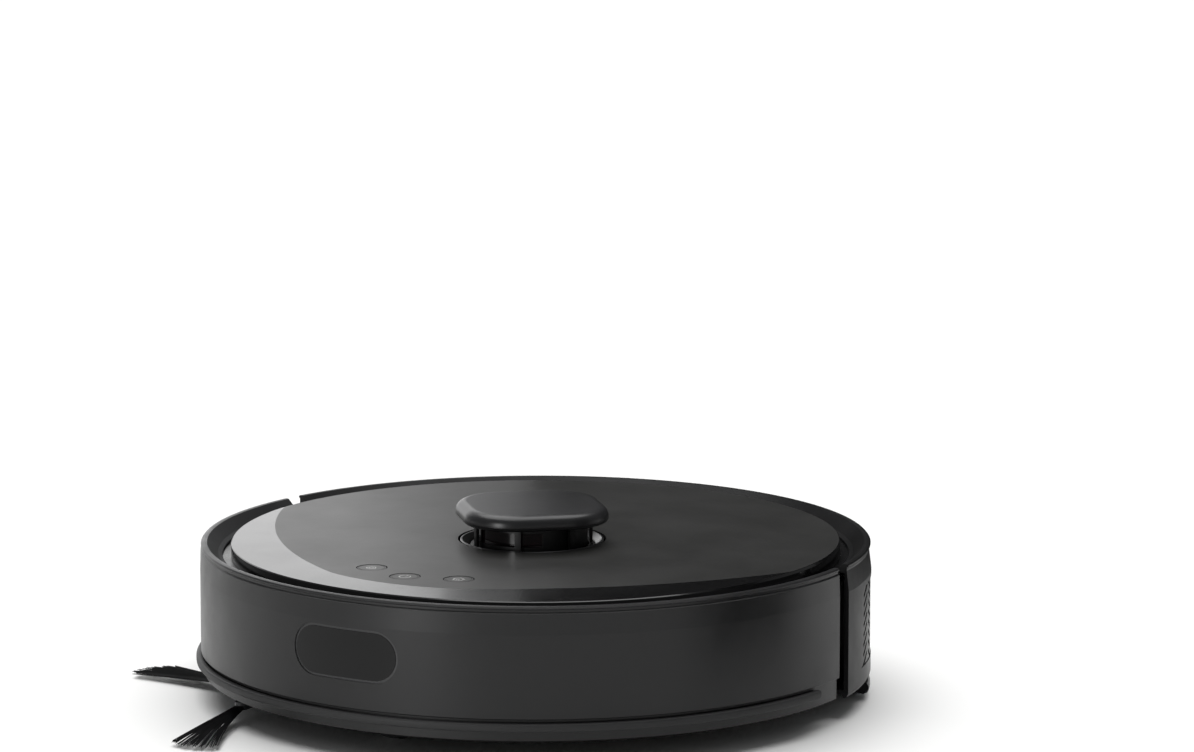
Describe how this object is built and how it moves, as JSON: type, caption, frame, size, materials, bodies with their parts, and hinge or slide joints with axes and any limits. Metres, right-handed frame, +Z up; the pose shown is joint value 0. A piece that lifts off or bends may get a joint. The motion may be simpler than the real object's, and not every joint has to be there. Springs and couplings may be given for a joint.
{
  "type": "robot vacuum",
  "caption": "Round robot vacuum with a laser turret, sprung front bumper, side and main brushes, sprung wheels, and a rear drawer for dust and water with a mop plate.",
  "frame": {"origin": "on the floor plane, under the centre of the round body", "axes": "+Z up, -Y is the front of the robot (the bumper's side), +X is the robot's left"},
  "size_m": [0.3689, 0.375, 0.098],
  "materials": {
    "shell": "finely textured charcoal moulded ABS",
    "cover_matt": "soft satin charcoal ABS",
    "turret": "black moulded ABS",
    "window": "smoked infrared-clear acrylic",
    "strip": "soft black bumper strip",
    "rubber": "black moulded rubber",
    "grey_plastic": "dark grey POM",
    "white_plastic": "off-white moulded nylon",
    "dark_plastic": "black moulded plastic",
    "smoke_plastic": "smoked clear polycarbonate",
    "steel": "bright zinc-plated steel",
    "contact": "plated contact strip",
    "board": "green glass-epoxy board",
    "battery": "blue heat-shrink film",
    "brush_rubber": "moulded rubber blades",
    "latch": "orange POM tab",
    "bristle": "black nylon bristle",
    "mop_cloth": "short-pile microfibre"
  },
  "bodies": {
    "body": {"chassis": "shell", "rear_casing": "shell", "vent_grilles": "shell", "top_deck": "shell", "top_cover": "cover_matt", "lidar_ring": "turret", "lidar_cage": "turret", "lidar_cap": "cover_matt", "lidar_motor": "steel", "lidar_belt": "rubber", "main_board": "board", "micro_switches": "dark_plastic", "obstacle_sensor": "board", "bumper_springs": "steel", "battery_pack": "battery", "battery_door": "shell", "brush_bearing": "white_plastic", "brush_gearbox": "grey_plastic", "side_gearbox": "grey_plastic", "cliff_windows": "window", "suction_duct": "dark_plastic", "outlet_duct": "dark_plastic", "fan_housing": "white_plastic", "charge_contacts": "contact", "case_screws": "steel", "pivot_pins": "steel", "suspension_springs": "steel"},
    "bumper": {"front_bumper": "shell", "bumper_strip": "strip", "window_bezel": "window", "sensor_window": "window"},
    "spot_button": {"button_spot": "cover_matt"},
    "power_button": {"button_power": "cover_matt"},
    "dock_button": {"button_dock": "cover_matt"},
    "laser_head": {"lidar_rotor": "turret", "lidar_lens": "window"},
    "laser_pulley": {"lidar_pulley": "white_plastic"},
    "caster": {"caster_fork": "grey_plastic", "caster_axle": "steel"},
    "caster_roller": {"caster_wheel": "grey_plastic"},
    "arm_left": {"drive_arm_left": "grey_plastic"},
    "wheel_left": {"drive_hub_left": "grey_plastic", "drive_tyre_left": "rubber"},
    "arm_right": {"drive_arm_right": "grey_plastic"},
    "wheel_right": {"drive_hub_right": "grey_plastic", "drive_tyre_right": "rubber"},
    "roller": {"main_brush": "brush_rubber"},
    "guard": {"brush_guard": "shell"},
    "latches": {"guard_latches": "latch"},
    "sweeper": {"side_brush": "grey_plastic", "side_bristles": "bristle"},
    "impeller": {"fan_impeller": "dark_plastic"},
    "drawer": {"dust_bin": "smoke_plastic", "bin_filter": "white_plastic", "water_tank": "shell", "tank_plug": "rubber", "mop_plate": "shell", "mop_pad": "mop_cloth"},
    "drawer_button": {"tank_button": "shell"},
    "flap": {"outlet_flap": "shell"}
  },
  "joints": [
    {"name": "bumper_press", "type": "slide", "parent": "body", "child": "bumper", "axis": [0, 1, 0], "range_m": [0, 0.003], "stiffness_N_per_m": 500, "springref_m": -0.002, "deforming": ["bumper_springs"]},
    {"name": "spot_button_press", "type": "slide", "parent": "body", "child": "spot_button", "axis": [0, 0, -1], "range_m": [0, 0.0005], "stiffness_N_per_m": 400, "springref_m": -0.001},
    {"name": "power_button_press", "type": "slide", "parent": "body", "child": "power_button", "axis": [0, 0, -1], "range_m": [0, 0.0005], "stiffness_N_per_m": 400, "springref_m": -0.001},
    {"name": "dock_button_press", "type": "slide", "parent": "body", "child": "dock_button", "axis": [0, 0, -1], "range_m": [0, 0.0005], "stiffness_N_per_m": 400, "springref_m": -0.001},
    {"name": "laser_spin", "type": "hinge", "parent": "body", "child": "laser_head", "pos_m": [0, -0.0036, 0.085], "axis": [0, 0, 1], "continuous": true},
    {"name": "laser_pulley_spin", "type": "hinge", "parent": "body", "child": "laser_pulley", "pos_m": [-0.046, -0.0036, 0.062], "axis": [0, 0, 1], "continuous": true},
    {"name": "caster_swivel", "type": "hinge", "parent": "body", "child": "caster", "pos_m": [0, -0.13, 0.036], "axis": [0, 0, 1], "continuous": true},
    {"name": "caster_roll", "type": "hinge", "parent": "caster", "child": "caster_roller", "pos_m": [0, -0.124, 0.013], "axis": [1, 0, 0], "continuous": true},
    {"name": "arm_left_drop", "type": "hinge", "parent": "body", "child": "arm_left", "pos_m": [0.114, -0.048, 0.036], "axis": [1, 0, 0], "range_deg": [-24, 0], "stiffness_Nm_per_rad": 0.3, "springref_deg": -45.84},
    {"name": "wheel_left_spin", "type": "hinge", "parent": "arm_left", "child": "wheel_left", "pos_m": [0.114, 0, 0.033], "axis": [1, 0, 0], "continuous": true},
    {"name": "arm_right_drop", "type": "hinge", "parent": "body", "child": "arm_right", "pos_m": [-0.114, -0.048, 0.036], "axis": [1, 0, 0], "range_deg": [-24, 0], "stiffness_Nm_per_rad": 0.3, "springref_deg": -45.84},
    {"name": "wheel_right_spin", "type": "hinge", "parent": "arm_right", "child": "wheel_right", "pos_m": [-0.114, 0, 0.033], "axis": [1, 0, 0], "continuous": true},
    {"name": "main_brush_spin", "type": "hinge", "parent": "body", "child": "roller", "pos_m": [0, 0.014, 0.02], "axis": [1, 0, 0], "continuous": true},
    {"name": "guard_release", "type": "slide", "parent": "body", "child": "guard", "axis": [0, 0, -1], "range_m": [0, 0.03]},
    {"name": "latch_press", "type": "slide", "parent": "guard", "child": "latches", "axis": [0, -1, 0], "range_m": [0, 0.002], "stiffness_N_per_m": 400, "springref_m": -0.001},
    {"name": "side_brush_spin", "type": "hinge", "parent": "body", "child": "sweeper", "pos_m": [-0.09301, -0.1033, 0.008], "axis": [0, 0, 1], "continuous": true, "deforming": ["side_bristles"]},
    {"name": "impeller_spin", "type": "hinge", "parent": "body", "child": "impeller", "pos_m": [0.079, 0.076, 0.037], "axis": [1, 0, 0], "continuous": true},
    {"name": "drawer_slide", "type": "slide", "parent": "body", "child": "drawer", "axis": [0, 1, 0], "range_m": [0, 0.12]},
    {"name": "drawer_button_press", "type": "slide", "parent": "drawer", "child": "drawer_button", "axis": [0, -1, 0], "range_m": [0, 0.0025], "stiffness_N_per_m": 400, "springref_m": -0.001},
    {"name": "flap_swing", "type": "hinge", "parent": "body", "child": "flap", "pos_m": [0, 0.1657, 0.0648], "axis": [1, 0, 0], "range_deg": [0, 60]}
  ],
  "couplings": [
    {"joint": "laser_pulley_spin", "follows": "laser_spin", "ratio": 5.1667}
  ]
}
